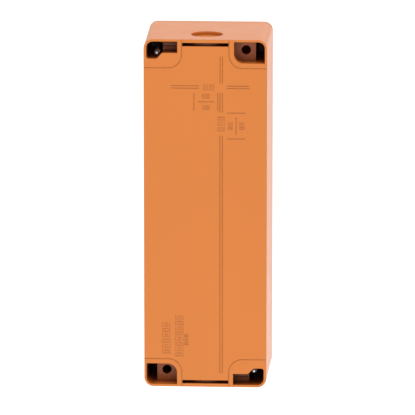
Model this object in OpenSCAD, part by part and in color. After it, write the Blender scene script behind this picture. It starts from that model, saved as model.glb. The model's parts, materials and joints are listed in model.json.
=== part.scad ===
// Ticket validator for a wall: a moulded case with a bottom-hinged cover, a ticket slot,
// a small stamping mechanism, a display and a contactless reader.
// Origin: centre of the wall face. +Z is up, the wall is on the +Y side, the cover faces -Y.
// Depths are measured forward from the wall face, so a depth d lies at y = -d.

/* [Case] */
// Width of the case at its front
case_w = 78.8; // [78:0.2:84]
// Height of the case at its front
case_h = 224; // [223:0.5:226]
// Depth from the wall face to the front of the cover
case_d = 70; // [70:0.5:74]
// How much narrower each side is at the wall face
draft = 0.8; // [0.4:0.1:1.2]
// Radius of the long corners at the wall face
corner_r = 5.9; // [5.4:0.1:7]
// Thickness of the cover
cover_t = 4.7; // [4.5:0.1:5]

/* [Wall fixing] */
// Sideways distance between the two wall screws
fix_x = 50; // [49:0.5:51]
// Upright distance between the two wall screws
fix_z = 206; // [205:0.5:207]
// Diameter of a wall screw hole
fix_d = 5.8; // [4.5:0.1:6]
// Depth of the floor that a wall screw clamps
fix_floor = 12.4; // [11:0.2:14]

/* [Cable entry] */
// Diameter of the knock-out in the top end
entry_d = 20.2; // [16.2:0.1:20.6]
// Distance of the knock-out from the wall face
entry_depth = 20; // [19:0.5:24]

/* [Ticket path] */
// Height of the ticket plane, from the middle of the case
ticket_z = -45; // [-46:0.5:-44]
// Radius of the feed roller
feed_r = 6.5; // [6:0.1:7]
// Radius of the pinch roller
pinch_r = 4.5; // [4:0.1:5]
// Teeth on the feed gear
feed_teeth = 24; // [20:1:26]
// Teeth on the motor pinion
pinion_teeth = 12; // [10:1:14]
// Travel of the print hammer
hammer_travel = 4.4; // [3:0.1:4.6]

/* [Controls] */
// Radius of a push button
button_r = 5; // [4:0.1:5.5]
// Travel of a push button
button_travel = 1.2; // [0.8:0.1:1.2]
// Width of the display window
window_w = 58; // [50:1:60]
// Height of the display window
window_h = 26; // [20:1:28]

/* [Hidden] */
$fn = 48;
skin = 0.01;
// case: the front rim of the housing and the seam under the cover
seam = 0.3;
rim_d = case_d - cover_t - seam;
front_corner_r = corner_r - 0.5;
floor_t = 3;
cavity = [74, 214];
cavity_r = 3;
// corner pads and pockets, as distances from the middle of the case
pad = [14.8, 93.2];
pad_r = 8.5;
pad_line = 0.5;
mark_depth = 0.25;
tower = [15.6, 94.2];
tower_r = 7.7;
pocket_x = [17.9, 37.2];
pocket_z = [96.3, 109.8];
slot_x = 31.2;
deep_d = 45;
tower_d = 48;
floor_d = fix_floor + 3;
leg_x = 17.5;
leg_z = 102.6;
leg_d = 12;
well_x = [27.3, 36.9];
well_z = 98.9;
end_slot = [29, 2.2];
end_slot_z = 108;
// the end slot's floor arches round the knock-out
end_arch_r = entry_depth - 4;
end_slot_d = entry_depth - sqrt(end_arch_r ^ 2 - (end_slot[0] / 2) ^ 2);
// tower screws, whose ends stand in the deep wells, and the two plates that they hold
screw_at = [30.6, 101.8];
screw_r = 1.5;
screw_tip = 6.5;
plate_t = 1.5;
// cover hinge
cover_back = case_d - cover_t;
hinge_d = case_d - cover_t / 2;
hinge_z = -(case_h - cover_t) / 2;
hinge_r = 1;
ear_x = [30, 34];
run = 0.06;
snug = 0.02;
// cover fittings
pocket_d = case_d - 2.5;
button_back = pocket_d - 0.9;
seal = [37.9, 109.7];
window_z = 62;
reader_z = 20;
button_z = -12;
button_x = [-20, 0, 20];
lens_z = 86;
lens_x = 20;
lock_z = 94;
lock_r = 6;
bezel = [66, 20];
throat_w = 57;
throat_h = 4.6;
flap_d = 64.6;
flap_z = ticket_z + 3.2;
// mechanism
chassis_w = 65;
chassis_z = [-90, -12];
chassis_d = [9, 60];
sheet = 1.2;
bush_flange = 0.9;
feed_d = 46;
feed_z = ticket_z - 0.15 - feed_r;
pinch_z = ticket_z + 0.15 + pinch_r;
gear_angle = -75;
gear_gap = (feed_teeth + pinion_teeth) / 2;
motor_y = -feed_d + gear_gap * cos(gear_angle);
motor_z = feed_z + gear_gap * sin(gear_angle);
gear_x = -36.2;
gear_t = 2.6;
print_d = 24;
wheel_r = 7;
wheel_z = ticket_z + 8.4;
hammer_top = -0.2 - hammer_travel + ticket_z;
coil_z = [-78, -60];
clip_z = -88;
plunger_r = 3;
spool_x = 21;
spool_z = -24.5;
spool_r = 8;
roller_x = [12, 24];
// boards
board_z = [4, 90];
board_d = 9;
board_t = 1.6;

case_orange = [0.886, 0.537, 0.282];
steel = [0.72, 0.73, 0.75];
dark_steel = [0.42, 0.43, 0.45];
brass = [0.78, 0.62, 0.28];
black_plastic = [0.09, 0.09, 0.1];
grey_plastic = [0.55, 0.56, 0.57];
board_green = [0.05, 0.33, 0.17];
rubber = [0.06, 0.06, 0.06];

// half width, half height and corner radius of the case at a depth
function half_w(d) = case_w / 2 - draft * (1 - d / case_d);
function half_h(d) = case_h / 2 - draft * (1 - d / case_d);
function edge_r(d) = corner_r + (front_corner_r - corner_r) * d / case_d;

// points on an arc about c
function arc(c, r, from, to, steps = 10) =
    [for (i = [0:steps]) c + r * [cos(from + (to - from) * i / steps), sin(from + (to - from) * i / steps)]];

// a flat shape in X and Z, made solid from one depth to another
module slab(from, to)
    translate([0, -from, 0])
        rotate([90, 0, 0])
            linear_extrude(to - from)
                children();

// a flat shape in Y and Z, made solid from one x to another
module cross(from, to)
    translate([from, 0, 0])
        rotate([90, 0, 90])
            linear_extrude(to - from)
                children();

module rod_x(from, to, r, y, z)
    translate([from, y, z])
        rotate([0, 90, 0])
            cylinder(r = r, h = to - from);

module rod_y(from, to, r, x, z)
    translate([x, -from, z])
        rotate([90, 0, 0])
            cylinder(r = r, h = to - from);

module rod_z(from, to, r, x, y)
    translate([x, y, from])
        cylinder(r = r, h = to - from);

module box(low, high)
    translate(low)
        cube(high - low);

module rounded(size, r) {
    square([size[0] - 2 * r, size[1]], center = true);
    square([size[0], size[1] - 2 * r], center = true);
    for (sx = [-1, 1], sz = [-1, 1])
        translate([sx * (size[0] / 2 - r), sz * (size[1] / 2 - r)])
            circle(r);
}

// children, and again turned half round about Y: the case repeats its corners this way
module twice()
    for (turn = [0, 180])
        rotate([0, turn, 0])
            children();

// a pan-head screw along -Y with its head towards the front, the head's underside at a depth
module screw(x, z, head_d, length, r) {
    difference() {
        union() {
            rod_y(head_d, head_d + 0.9 * r, 1.9 * r, x, z);
            rod_y(head_d - length, head_d, r, x, z);
        }
        for (turn = [0, 90])
            translate([x, -head_d - 0.9 * r, z])
                rotate([0, turn, 0])
                    cube([2.2 * r, r, 0.4 * r], center = true);
    }
}

// ---- case ----

module case_block(from, to)
    hull()
        for (d = [from, to - skin], sx = [-1, 1], sz = [-1, 1])
            rod_y(d, d + skin, edge_r(d), sx * (half_w(d) - edge_r(d)), sz * (half_h(d) - edge_r(d)));

module corner_pad(grow)
    polygon(concat(
        [[-pad[0] + grow, 115], [-45, 115], [-45, pad[1] - grow]],
        arc([-pad[0] - pad_r, pad[1] + pad_r], pad_r + grow, 270, 360)));

module pad_outline()
    difference() {
        corner_pad(pad_line / 2);
        corner_pad(-pad_line / 2);
    }

module tower_outline()
    polygon(concat(
        [[-tower[0], 110], [-38.5, 110], [-38.5, tower[1]]],
        arc([-tower[0] - tower_r, tower[1] + tower_r], tower_r, 270, 360)));

// pocket over a wall screw: large inner corner, rounded outer corner
module fixing_pocket()
    polygon(concat(
        [[-pocket_x[0], pocket_z[1]]],
        arc([-pocket_x[1] + 4, pocket_z[1] - 4], 4, 90, 180),
        [[-pocket_x[1], pocket_z[0]]],
        arc([-pocket_x[0] - 6, pocket_z[0] + 6], 6, 270, 360)));

// L-shaped pocket: a shallow leg, then a deep well past a curved shoulder
module well_pocket()
    polygon(concat(
        [[leg_x, leg_z]],
        [for (i = [0:12]) [well_x[0] - 1.1 + 5 * i / 12, leg_z - (leg_z - well_z) * (1 - cos(15 * i)) / 2]],
        arc([well_x[1] - 1.5, well_z + 1.5], 1.5, 270, 360),
        arc([well_x[1] - 4, pocket_z[1] - 4], 4, 0, 90),
        [[leg_x, pocket_z[1]]]));

// narrow slot beside the end wall, shallow at its middle
module end_slot_pocket()
    difference() {
        slab(-1, end_slot_d)
            translate([0, end_slot_z])
                square(end_slot, center = true);
        rod_z(end_slot_z - 5, end_slot_z + 5, end_arch_r, 0, -entry_depth);
    }

module knock_out() {
    top = half_h(entry_depth) - 2.1;
    rod_z(top, top + 5, entry_d / 2, 0, -entry_depth);
}

// a scale line shown by its two edges
module scale_line(from, to, width = 1.5) {
    long = to - from;
    tall = abs(long[0]) > abs(long[1]) ? [0, width] : [width, 0];
    for (side = [-0.5, 0.5])
        translate(from + side * tall)
            square([max(long[0], 0.45), max(long[1], 0.45)]);
}

// a short line of plain blocks in place of figures, reading along X
module blocks(count, height, pitch)
    for (i = [0:count - 1])
        translate([(i - (count - 1) / 2) * pitch, 0])
            difference() {
                square([pitch * 0.72, height], center = true);
                square([pitch * 0.3, height * (i % 2 == 0 ? 0.5 : 0.25)], center = true);
            }

// two blocks over and under a bar, between two uprights
module stacked_blocks(width) {
    for (side = [-1, 1]) {
        translate([0, side * 3.6])
            blocks(2, 3, 2.6);
        translate([side * width / 2, 0])
            square([0.5, 11], center = true);
    }
    square([width * 0.66, 0.5], center = true);
}

module moulded_marks() {
    scale_line([-27.6, 81], [-13.4, 81]);
    scale_line([-1, 81], [1.5, 81]);
    scale_line([4.1, 81], [21.2, 81]);
    scale_line([-10.2, 83.7], [-10.2, 100.6]);
    scale_line([-10.2, 65.2], [-10.2, 77.7]);
    scale_line([-10.2, -101.9], [-10.2, 50.4]);
    translate([-2.2, 81.2])
        blocks(2, 4, 3.6);
    translate([-0.4, 71.9])
        stacked_blocks(15);
    translate([-9.9, 58])
        rotate(90)
            blocks(3, 4.4, 3.4);
    translate([-19.3, 56.7])
        rotate(90)
            stacked_blocks(16.4);
    translate([24.6, -79.7])
        rotate(90)
            blocks(6, 5, 3.5);
    translate([16.3, -78.3])
        rotate(90)
            blocks(8, 5.2, 3.4);
    translate([12, -80.7])
        rotate(90)
            blocks(3, 2.4, 2.5);
}

module rear_housing() color(case_orange) {
    difference() {
        union() {
            difference() {
                case_block(0, rim_d);
                slab(floor_t, rim_d + 1)
                    rounded(cavity, cavity_r);
            }
            intersection() {
                case_block(0, rim_d);
                union() {
                    twice() {
                        slab(0, floor_d)
                            tower_outline();
                        slab(0, floor_d)
                            mirror([1, 0])
                                tower_outline();
                        slab(0, tower_d)
                            translate([-38.5, tower[1]])
                                square([38.5 - slot_x + 2, 16]);
                        slab(0, tower_d)
                            translate([well_x[0] - 2, tower[1] + 1])
                                square([38.5 - well_x[0] + 2, 15]);
                        slab(0, end_slot_d + 2)
                            translate([-tower[0] - 0.5, 104])
                                square([2 * tower[0] + 1, 6]);
                    }
                    slab(floor_t - 0.5, board_d)
                        for (x = [-30, 30], z = [board_z[0] + 5, board_z[1] - 5])
                            translate([x, z])
                                circle(3);
                    slab(floor_t - 0.5, chassis_d[0])
                        for (x = [-26, 26], z = [chassis_z[0] + 5, chassis_z[1] - 5])
                            translate([x, z])
                                circle(3.5);
                }
            }
            for (x = [-ear_x[1], ear_x[0]])
                hinge_ear(x);
        }
        twice() {
            slab(-1, fix_floor)
                fixing_pocket();
            slab(-1, deep_d)
                intersection() {
                    fixing_pocket();
                    translate([-pocket_x[1], pocket_z[0]])
                        square([pocket_x[1] - slot_x, 20]);
                }
            slab(-1, leg_d)
                well_pocket();
            slab(-1, deep_d)
                intersection() {
                    well_pocket();
                    translate([well_x[0], well_z])
                        square([12, 12]);
                }
            rod_y(fix_floor - 1, floor_d + 1, fix_d / 2, -fix_x / 2, fix_z / 2);
            rod_y(screw_tip, tower_d + 1, screw_r, screw_at[0], screw_at[1]);
            end_slot_pocket();
            slab(-1, mark_depth) {
                pad_outline();
                mirror([1, 0])
                    pad_outline();
            }
        }
        slab(-1, mark_depth)
            moulded_marks();
        knock_out();
        for (x = [-30, 30], z = [board_z[0] + 5, board_z[1] - 5])
            rod_y(floor_t + 1, board_d + 1, 1.25, x, z);
        for (x = [-26, 26], z = [chassis_z[0] + 5, chassis_z[1] - 5])
            rod_y(floor_t + 1, chassis_d[0] + 1, 1.5, x, z);
    }
    // two low ribs across the floor of each pocket's leg
    twice()
        for (z = [leg_z + 2.1, leg_z + 4.5])
            box([leg_x + 0.05, -leg_d, z], [well_x[0], -leg_d + 1, z + 0.6]);
}

module hinge_ear(x) {
    difference() {
        union() {
            rod_x(x, x + ear_x[1] - ear_x[0], cover_t / 2 - 0.15, -hinge_d, hinge_z);
            box([x, -hinge_d, hinge_z - cover_t / 2 + 0.15],
                [x + ear_x[1] - ear_x[0], -rim_d + 0.5, hinge_z + 1]);
        }
        rod_x(x - 1, x + 5, hinge_r + snug, -hinge_d, hinge_z);
    }
}

module hinge_pins() color(steel)
    for (x = [-37, 27])
        rod_x(x, x + 10, hinge_r, -hinge_d, hinge_z);

// steel plate on the upper tower; its lip holds the lock's cam
module top_strike_plate() color(steel)
    difference() {
        union() {
            box([-8, -tower_d - plate_t, 102.5], [35.4, -tower_d, 106]);
            box([25.8, -tower_d - plate_t, 95], [35.4, -tower_d, 103]);
            box([-8, -62.5, 104.5], [8, -tower_d, 106]);
            box([-8, -62.5, 101.4], [8, -61, 106]);
        }
        rod_y(tower_d - 1, tower_d + plate_t + 1, screw_r + 0.1, screw_at[0], screw_at[1]);
    }

module earth_plate() color(steel)
    difference() {
        union() {
            box([-35.4, -tower_d - plate_t, -106], [-14, -tower_d, -95]);
            rod_y(tower_d + plate_t, tower_d + 7, 2, -19, -100.5);
        }
        rod_y(tower_d - 1, tower_d + plate_t + 1, screw_r + 0.1, -screw_at[0], -screw_at[1]);
    }

module tower_screws() color(steel)
    twice()
        screw(screw_at[0], screw_at[1], tower_d + plate_t, tower_d + plate_t - screw_tip, screw_r - snug);

// ---- electronics in the case ----

module main_board() color(board_green)
    difference() {
        slab(board_d, board_d + board_t)
            translate([-34, board_z[0]])
                square([68, board_z[1] - board_z[0]]);
        for (x = [-30, 30], z = [board_z[0] + 5, board_z[1] - 5])
            rod_y(board_d - 1, board_d + 3, 1.6, x, z);
    }

module board_screws() color(steel)
    for (x = [-30, 30], z = [board_z[0] + 5, board_z[1] - 5])
        screw(x, z, board_d + board_t, 6, 1.25 - snug);

module board_components() color(black_plastic) {
    top = -board_d - board_t;
    box([-12, top - 1.6, 34], [4, top, 50]);
    box([12, top - 2.4, 26], [26, top, 34]);
    box([-28, top - 6, 58], [-18, top, 78]);
    for (x = [16, 27])
        rod_y(-top, -top + 11, 4, x, 61);
    for (z = [14:7:28])
        box([-27, top - 1.2, z], [-20, top, z + 4]);
    difference() {
        box([-14, top - 8, 12], [14, top, 19]);
        box([-12.6, top - 9, 13.4], [12.6, top - 1.5, 17.6]);
    }
    for (x = [-6:3:6])
        box([x, top - 0.9, 54], [x + 1.6, top, 57]);
}

module terminal_block() color([0.1, 0.45, 0.25])
    difference() {
        box([-15.6, -board_d - board_t - 10, 74], [15.6, -board_d - board_t, 84]);
        for (i = [0:5]) {
            x = (i - 2.5) * 5.08;
            rod_y(board_d + board_t + 6, board_d + board_t + 11, 1.6, x, 79);
            box([x - 1.7, -board_d - board_t - 5.5, 80.5], [x + 1.7, -board_d - board_t - 1.5, 85]);
        }
    }

module buzzer() color(black_plastic)
    difference() {
        rod_y(board_d + board_t, board_d + board_t + 7, 7, 0, 64);
        rod_y(board_d + board_t + 5, board_d + board_t + 8, 1.3, 0, 64);
    }

module backup_cell() color(steel)
    union() {
        rod_y(board_d + board_t, board_d + board_t + 2.6, 9, 20, 46);
        rod_y(board_d + board_t + 2.6, board_d + board_t + 3.2, 7.6, 20, 46);
    }

// ---- mechanism ----

module mechanism_chassis() color(steel)
    difference() {
        union() {
            slab(chassis_d[0], chassis_d[0] + sheet)
                translate([-chassis_w / 2, chassis_z[0]])
                    square([chassis_w, chassis_z[1] - chassis_z[0]]);
            for (x = [-chassis_w / 2, chassis_w / 2 - sheet])
                cross(x, x + sheet)
                    polygon([[-chassis_d[0], chassis_z[0]], [-chassis_d[0], chassis_z[1]],
                        [-30, chassis_z[1]], [-chassis_d[1] + 4, -30], [-chassis_d[1] + 4, -66],
                        [-chassis_d[1] + 10, chassis_z[0]]]);
        }
        for (x = [-26, 26], z = [chassis_z[0] + 5, chassis_z[1] - 5])
            rod_y(chassis_d[0] - 1, chassis_d[0] + 3, 1.7, x, z);
        rod_x(-40, 40, 4.02, -feed_d, feed_z);
        rod_x(-40, 40, 3.02, -feed_d, pinch_z);
        rod_x(-40, 0, 4.02, motor_y, motor_z);
    }

module chassis_screws() color(dark_steel)
    for (x = [-26, 26], z = [chassis_z[0] + 5, chassis_z[1] - 5])
        screw(x, z, chassis_d[0] + sheet, 5.5, 1.5 - snug);

module tie_rods() color(steel)
    for (at = [[-14.3, -14.6], [-46, -84]])
        rod_x(-chassis_w / 2 + sheet, chassis_w / 2 - sheet, 2, at[0], at[1]);

module flanged_bush(x, side, r_out, r_in, z) {
    inner = x - side * bush_flange;
    difference() {
        union() {
            rod_x(min(x, x + side * sheet), max(x, x + side * sheet), r_out, -feed_d, z);
            rod_x(min(x, inner), max(x, inner), r_out + 1.2, -feed_d, z);
        }
        rod_x(x - 4, x + 4, r_in, -feed_d, z);
    }
}

module shaft_bushes() color(brass)
    for (side = [-1, 1]) {
        inside = side * (chassis_w / 2 - sheet);
        flanged_bush(inside, side, 4, 2 + run, feed_z);
        flanged_bush(inside, side, 3, 1.5 + run, pinch_z);
    }

module guide(low, high, lip) {
    out = -feed_d - 11;
    cross(-chassis_w / 2 + sheet, chassis_w / 2 - sheet)
        polygon([[out, lip], [out, lip + high - low], [out + 4.5, high], [-13, high], [-13, low],
            [out + 4.5, low]]);
}

// gaps in a guide plate for the rollers and for the flanges of the shaft's bushes
module shaft_windows(reach, z)
    for (side = [-1, 1]) {
        translate([side * (roller_x[0] + roller_x[1]) / 2, -feed_d, z])
            cube([roller_x[1] - roller_x[0] + 2, 2 * reach, 6], center = true);
        translate([side * chassis_w / 2, -feed_d, z])
            cube([2 * (sheet + bush_flange + 0.2), 12, 6], center = true);
    }

module lower_ticket_guide() color(black_plastic)
    difference() {
        guide(ticket_z - 1.8, ticket_z - 0.6, ticket_z - 3.6);
        shaft_windows(6, ticket_z - 1);
        translate([0, -print_d, ticket_z - 1])
            cube([21, 15, 6], center = true);
    }

module upper_ticket_guide() color(black_plastic)
    difference() {
        guide(ticket_z + 0.6, ticket_z + 1.8, ticket_z + 2.4);
        shaft_windows(5, ticket_z + 1);
        translate([0, -print_d, ticket_z + 1])
            cube([34, 15, 6], center = true);
    }

module feed_shaft() color(steel)
    rod_x(gear_x - 0.2, chassis_w / 2 + 1.5, 2, -feed_d, feed_z);

module roller_pair(r, bore, z)
    for (side = [-1, 1])
        difference() {
            rod_x(min(side * roller_x[0], side * roller_x[1]), max(side * roller_x[0], side * roller_x[1]),
                r, -feed_d, z);
            rod_x(-30, 30, bore, -feed_d, z);
        }

module feed_rollers() color(rubber)
    roller_pair(feed_r, 2 + snug, feed_z);

module pinch_rollers() color(rubber)
    roller_pair(pinch_r, 1.5 + snug, pinch_z);

module pinch_shaft() color(steel)
    rod_x(-chassis_w / 2 - 1, chassis_w / 2 + 1, 1.5, -feed_d, pinch_z);

// straight-flanked teeth of module 1, thinned for running clearance
module gear_outline(teeth, first) {
    pitch_r = teeth / 2;
    levels = [[pitch_r - 1.15, 1.05], [pitch_r, 0.64], [pitch_r + 0.85, 0.33]];
    turns = [for (level = levels) [level[0], asin(level[1] / level[0])]];
    polygon([for (i = [0:teeth - 1], side = [-1, 1], k = [0:2])
        let (level = turns[side < 0 ? k : 2 - k], a = first + i * 360 / teeth + side * level[1])
        level[0] * [cos(a), sin(a)]]);
}

module feed_gear() color(grey_plastic)
    difference() {
        union() {
            translate([0, -feed_d, feed_z])
                cross(gear_x, gear_x + gear_t)
                    gear_outline(feed_teeth, gear_angle);
            rod_x(gear_x + gear_t, gear_x + gear_t + 0.7, 4, -feed_d, feed_z);
        }
        rod_x(-40, -30, 2 + snug, -feed_d, feed_z);
        for (turn = [0:60:300])
            translate([0, -feed_d + 7 * cos(turn), feed_z + 7 * sin(turn)])
                rod_x(-40, -30, 1.8, 0, 0);
    }

module feed_motor() color(dark_steel) {
    face = -chassis_w / 2 + sheet;
    difference() {
        union() {
            rod_x(face, face + 15, 10, motor_y, motor_z);
            rod_x(face - sheet, face, 4, motor_y, motor_z);
            rod_x(face + 15, face + 16, 4, motor_y, motor_z);
        }
        rod_x(face - 3, face + 6, 1 + run, motor_y, motor_z);
    }
}

module motor_shaft() color(steel)
    rod_x(gear_x - 0.2, -chassis_w / 2 + sheet + 5.5, 1, motor_y, motor_z);

module motor_pinion() color(brass)
    difference() {
        translate([0, motor_y, motor_z])
            cross(gear_x, gear_x + gear_t)
                gear_outline(pinion_teeth, gear_angle + 180 + 180 / pinion_teeth);
        rod_x(-40, -30, 1 + snug, motor_y, motor_z);
    }

module solenoid_frame() color(steel)
    difference() {
        union() {
            box([-11, -print_d - 9, coil_z[0]], [11, -print_d + 9, coil_z[1]]);
            for (x = [-11, 6])
                box([x, -print_d + 8, coil_z[0] + 3], [x + 5, -chassis_d[0] - sheet, coil_z[1] - 3]);
        }
        box([-12, -print_d - 7.6, coil_z[0] + 1.6], [12, -print_d + 7.4, coil_z[1] - 1.6]);
        rod_z(coil_z[0] - 1, coil_z[1] + 1, plunger_r + 0.3, 0, -print_d);
    }

module solenoid_coil() color([0.5, 0.2, 0.1])
    difference() {
        union() {
            rod_z(coil_z[0] + 2.6, coil_z[1] - 2.6, 6.6, 0, -print_d);
            for (z = [coil_z[0] + 1.6, coil_z[1] - 2.6])
                rod_z(z, z + 1, 7.3, 0, -print_d);
        }
        rod_z(coil_z[0], coil_z[1], plunger_r + run, 0, -print_d);
    }

module print_hammer() color(dark_steel)
    difference() {
        box([-9, -print_d - 6, hammer_top - 3.5], [9, -print_d + 6, hammer_top]);
        for (x = [-5, 0, 5])
            box([x - 0.4, -print_d - 7, hammer_top - 0.5], [x + 0.4, -print_d + 7, hammer_top + 1]);
    }

module clip_ring(inner)
    difference() {
        rod_z(clip_z, clip_z + 0.8, 5, 0, -print_d);
        rod_z(clip_z - 1, clip_z + 2, inner, 0, -print_d);
    }

module hammer_plunger() color(steel)
    difference() {
        rod_z(clip_z - 1, hammer_top - 3.5, plunger_r, 0, -print_d);
        clip_ring(plunger_r - 0.6);
    }

module hammer_clip() color(dark_steel)
    clip_ring(plunger_r - 0.6 + snug);

// compression spring under the solenoid, a square-ended coil of round wire
module hammer_spring() color(steel) {
    turns = 5;
    around = 14;
    sides = 8;
    wire = 0.35;
    coil_r = 4;
    low = clip_z + 0.8 + wire;
    high = coil_z[0] - wire;
    last = turns * around;
    points = [for (i = [0:last], k = [0:sides - 1])
        let (a = 360 * i / around, b = 360 * k / sides, r = coil_r + wire * cos(b))
        [r * cos(a), -print_d + r * sin(a), low + (high - low) * i / last + wire * sin(b)]];
    faces = concat(
        [[for (k = [0:sides - 1]) k]],
        [[for (k = [0:sides - 1]) last * sides + sides - 1 - k]],
        [for (i = [0:last - 1], k = [0:sides - 1])
            let (next = (k + 1) % sides)
            [i * sides + k, (i + 1) * sides + k, (i + 1) * sides + next, i * sides + next]]);
    polyhedron(points, faces);
}

module wheel_carriage() color(steel)
    difference() {
        for (side = [-1, 1])
            cross(side * 11.6 - 0.6, side * 11.6 + 0.6)
                polygon([[-16.5, wheel_z + 6], [-30, wheel_z + 6], [-30, wheel_z - 4.6],
                    [-18, wheel_z - 4.6], [-16.5, wheel_z - 2]]);
        rod_x(-15, 15, 1.5 + run, -print_d, wheel_z);
    }

module date_wheel_shaft() color(steel)
    rod_x(-13.4, 13.4, 1.5, -print_d, wheel_z);

// ten-sided number wheels, one face for each figure
module date_wheels() color([0.8, 0.8, 0.78])
    for (i = [-2:2])
        difference() {
            cross(i * 3.8 - 1.6, i * 3.8 + 1.6)
                translate([-print_d, wheel_z])
                    rotate(18)
                        circle(wheel_r, $fn = 10);
            rod_x(-15, 15, 1.5 + snug, -print_d, wheel_z);
        }

module ribbon_bracket() color(steel)
    union() {
        slab(15.3, 16.5)
            translate([-chassis_w / 2 + sheet, -37])
                square([chassis_w - 2 * sheet, 20]);
        for (side = [-1, 1])
            rod_y(16.5, 31, 1.5, side * spool_x, spool_z);
    }

module spool(x)
    difference() {
        union() {
            for (d = [17.6, 28])
                rod_y(d, d + 1, spool_r, x, spool_z);
            rod_y(17.6, 29, 5.6, x, spool_z);
        }
        rod_y(16, 32, 1.5 + run, x, spool_z);
        for (turn = [0:120:240])
            translate([x + 6.6 * cos(turn), 0, spool_z + 6.6 * sin(turn)])
                rod_y(27.8, 30, 0.8, 0, 0);
    }

module supply_spool() color(black_plastic)
    spool(-spool_x);

module takeup_spool() color(black_plastic)
    spool(spool_x);

// inked ribbon from spool to spool, under the number wheels
module ink_ribbon() color([0.18, 0.1, 0.3]) {
    t = 0.2;
    under = ticket_z + 1.05;
    high = spool_z - 6.2;
    path = [[-spool_x, high], [-15.4, under + 0.8], [-12.8, under], [12.8, under],
        [15.4, under + 0.8], [spool_x, high]];
    slab(19, 27.6)
        polygon(concat(path, [for (i = [len(path) - 1:-1:0]) path[i] - [0, t]]));
}

module ticket_sensor() color(black_plastic)
    difference() {
        box([-6, -12.8, ticket_z - 5], [6, -chassis_d[0] - sheet, ticket_z + 5]);
        box([-7, -13, ticket_z - 1.5], [7, -11.4, ticket_z + 1.5]);
    }

// ---- cover ----

module cover_block() {
    edge = cover_t / 2;
    profile = concat([[0, 0], [front_corner_r, 0]],
        arc([front_corner_r - edge, cover_t - edge], edge, 0, 90, 5), [[0, cover_t]]);
    hull()
        for (sx = [-1, 1], sz = [-1, 1])
            translate([sx * (case_w / 2 - front_corner_r), -cover_back, sz * (case_h / 2 - front_corner_r)])
                rotate([90, 0, 0])
                    rotate_extrude($fn = 32)
                        polygon(profile);
}

// seal along the top and both sides; the bottom edge stays open as a drain
module gasket_arch(width)
    difference() {
        rounded([2 * seal[0] + width, 2 * seal[1] + width], 4);
        rounded([2 * seal[0] - width, 2 * seal[1] - width], 3);
        translate([-50, -120])
            square([100, 20]);
    }

module front_cover() color(case_orange)
    difference() {
        union() {
            difference() {
                cover_block();
                translate([0, 0, 2.25])
                    slab(cover_back - 1, pocket_d)
                        rounded([71, 208.5], 3);
            }
            for (x = [-30, 30], z = [window_z - 17, window_z + 17])
                rod_y(62.5, pocket_d, 2.6, x, z);
            for (x = [-10, 10])
                rod_y(63.5, pocket_d, 2.4, x, button_z);
        }
        translate([0, 0, window_z]) {
            slab(60, case_d + 1)
                rounded([window_w, window_h], 2);
            slab(case_d - 1.3, case_d + 1)
                rounded([window_w + 4.2, window_h + 4.2], 3);
        }
        translate([0, 0, reader_z])
            slab(case_d - 0.8, case_d + 1)
                rounded([56.2, 36.2], 5);
        translate([0, 0, ticket_z])
            slab(60, case_d + 1)
                rounded([62.4, 14.4], 2);
        for (x = button_x)
            rod_y(60, case_d + 1, button_r + 0.3, x, button_z);
        for (x = [-lens_x, lens_x])
            rod_y(60, case_d + 1, 3, x, lens_z);
        rod_y(60, case_d + 1, lock_r, 0, lock_z);
        slab(cover_back - 1, cover_back + 1)
            gasket_arch(1.5);
        for (x = [-30, 30], z = [window_z - 17, window_z + 17])
            rod_y(60, pocket_d - 0.5, 1.1, x, z);
        for (x = [-10, 10])
            rod_y(60, pocket_d - 0.5, 1, x, button_z);
        for (x = [-ear_x[1] - 0.3, ear_x[0] - 0.3])
            box([x, -case_d - 1, -case_h / 2 - 1], [x + ear_x[1] - ear_x[0] + 0.6, -cover_back + 1, hinge_z + 2.8]);
        for (x = [-38, 26])
            rod_x(x, x + 12, hinge_r + run, -hinge_d, hinge_z);
        difference() {
            box([-45, -hinge_d, -case_h / 2 - 1], [45, -cover_back + 1, hinge_z]);
            rod_x(-46, 46, cover_t / 2, -hinge_d, hinge_z);
        }
    }

module cover_gasket() color(rubber)
    slab(cover_back - 0.25, cover_back + 1)
        gasket_arch(1.4);

module display_window() color([0.12, 0.13, 0.15])
    translate([0, 0, window_z])
        slab(case_d - 1.3, case_d)
            rounded([window_w + 4, window_h + 4], 2.9);

module display_module() color([0.55, 0.62, 0.5])
    translate([0, 0, window_z])
        difference() {
            slab(62.5, case_d - 2.7)
                rounded([54, 38], 1);
            slab(case_d - 3.3, case_d)
                rounded([48, 20], 0.5);
        }

module display_board() color(board_green)
    difference() {
        translate([0, 0, window_z])
            slab(60.9, 62.5)
                rounded([66, 40], 1);
        for (x = [-30, 30], z = [window_z - 17, window_z + 17])
            rod_y(60, 64, 1.4, x, z);
    }

module display_screws() color(steel)
    for (x = [-30, 30], z = [window_z - 17, window_z + 17])
        translate([0, -2 * 60.9, 0])
            mirror([0, 1, 0])
                screw(x, z, 60.9, 5.5, 1.1 - snug);

module reader_panel() color([0.2, 0.22, 0.25])
    translate([0, 0, reader_z])
        slab(case_d - 0.8, case_d + 0.8)
            rounded([56, 36], 4.9);

module antenna_board() color([0.1, 0.2, 0.35])
    translate([0, 0, reader_z])
        slab(66, pocket_d)
            rounded([58, 38], 2);

module lens(x) {
    rod_y(case_d, case_d + 0.9, 3.6, x, lens_z);
    rod_y(64, case_d, 2.97, x, lens_z);
}

module accept_lens() color([0.2, 0.75, 0.35])
    lens(lens_x);

module refuse_lens() color([0.85, 0.15, 0.12])
    lens(-lens_x);

module button(x) {
    rod_y(pocket_d - 0.1, case_d + button_travel + 0.4, button_r, x, button_z);
    rod_y(button_back, pocket_d - 0.1, button_r + 1, x, button_z);
}

module button_left() color(grey_plastic)
    button(button_x[0]);

module button_centre() color(grey_plastic)
    button(button_x[1]);

module button_right() color(grey_plastic)
    button(button_x[2]);

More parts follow.
